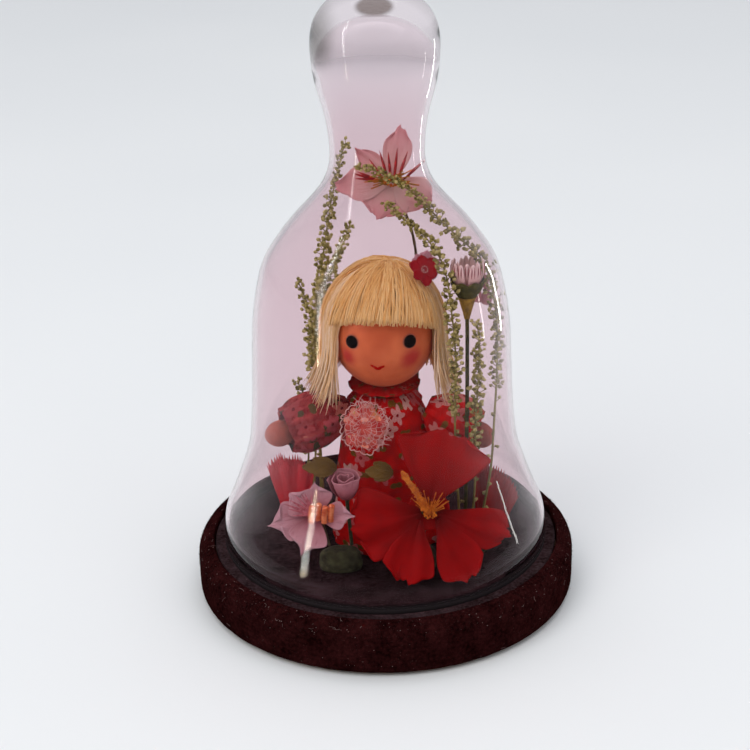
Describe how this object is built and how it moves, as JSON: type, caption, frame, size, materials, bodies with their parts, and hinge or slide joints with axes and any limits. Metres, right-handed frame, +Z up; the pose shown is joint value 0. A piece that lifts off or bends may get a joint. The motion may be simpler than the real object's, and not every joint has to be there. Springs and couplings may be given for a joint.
{
  "type": "glass bell display dome",
  "caption": "Bell-shaped glass dome on a velvet base, lifting off a yarn-haired doll set among silk and dried flowers.",
  "frame": {"origin": "centre of the base's underside, on the surface that the object stands on", "axes": "+Z up, along the bell's axis; the doll faces -Y; +X is to the right as seen from the front"},
  "size_m": [0.125, 0.125, 0.2005],
  "materials": {
    "velvet": "dark burgundy-brown velvet, deep pile with lint",
    "floor_velvet": "dark grey-purple velvet",
    "felt": "thin dark felt",
    "board_wood": "plain sanded softwood",
    "bell_glass": "clear blown glass, polished",
    "head_paint": "matt painted wooden ball",
    "bead_black": "glossy black",
    "yarn": "blond mohair yarn",
    "felt_skin": "peach felt",
    "stuffing": "pressed cotton wadding",
    "print_red": "red cotton with a small flower print",
    "print_rose": "mauve-red cotton with a rose print",
    "collar_cloth": "dark red cotton",
    "lace": "cream and pink lace",
    "silk_red": "stiffened red silk",
    "silk_pink": "stiffened pale pink silk",
    "silk_lilac": "lilac-pink silk",
    "silk_white": "white silk with pink tips",
    "silk_orange": "orange silk",
    "silk_green": "dark green silk",
    "pollen": "yellow flock",
    "stamen": "dark red starched thread",
    "dried_plant": "dried olive-green seed heads",
    "wire": "thin painted wire",
    "clay": "dark green florist's clay"
  },
  "bodies": {
    "base": {"base_felt": "felt", "base_board": "board_wood", "velvet_ring": "velvet", "velvet_floor": "floor_velvet", "doll_head": "head_paint", "neck_peg": "board_wood", "eye_left": "bead_black", "eye_right": "bead_black", "hair_fringe": "yarn", "hair_back": "yarn", "hair_lock_left": "yarn", "hair_lock_right": "yarn", "hair_flower": "silk_red", "doll_body": "stuffing", "dress": "print_red", "collar": "collar_cloth", "arm_left": "felt_skin", "arm_right": "felt_skin", "sleeve_left": "print_rose", "sleeve_right": "print_red", "lace_rosette": "lace", "hibiscus_petal_top": "silk_red", "hibiscus_petal_right": "silk_red", "hibiscus_petal_lower_right": "silk_red", "hibiscus_petal_lower_left": "silk_red", "hibiscus_petal_left": "silk_red", "hibiscus_column": "pollen", "hibiscus_calyx": "silk_green", "hibiscus_wire": "wire", "pink_blossom_petals": "silk_pink", "pink_blossom_stamens": "stamen", "pink_blossom_calyx": "silk_orange", "pink_blossom_wire": "wire", "top_blossom_petals": "silk_pink", "top_blossom_stamens": "stamen", "top_blossom_calyx": "silk_green", "top_blossom_wire": "wire", "rosebud": "silk_lilac", "daisy_stem": "silk_green", "daisy_calyx": "silk_green", "daisy_bud": "silk_white", "side_blossom": "silk_pink", "orange_blossom": "silk_orange", "carnation_left": "silk_red", "carnation_right": "silk_red", "leaf_front": "silk_green", "leaf_left": "silk_green", "sprig_left_tall": "dried_plant", "sprig_left_mid": "dried_plant", "sprig_left_back": "dried_plant", "sprig_left_low": "dried_plant", "sprig_right_outer": "dried_plant", "sprig_right_inner": "dried_plant", "sprig_right_middle": "dried_plant", "clay_left": "clay", "clay_right": "clay", "clay_back": "clay", "clay_front_left": "clay", "clay_front_right": "clay"},
    "dome": {"glass_dome": "bell_glass"}
  },
  "joints": [
    {"name": "dome_lift", "type": "slide", "parent": "base", "child": "dome", "axis": [0, 0, 1], "range_m": [0, 0.15]}
  ]
}
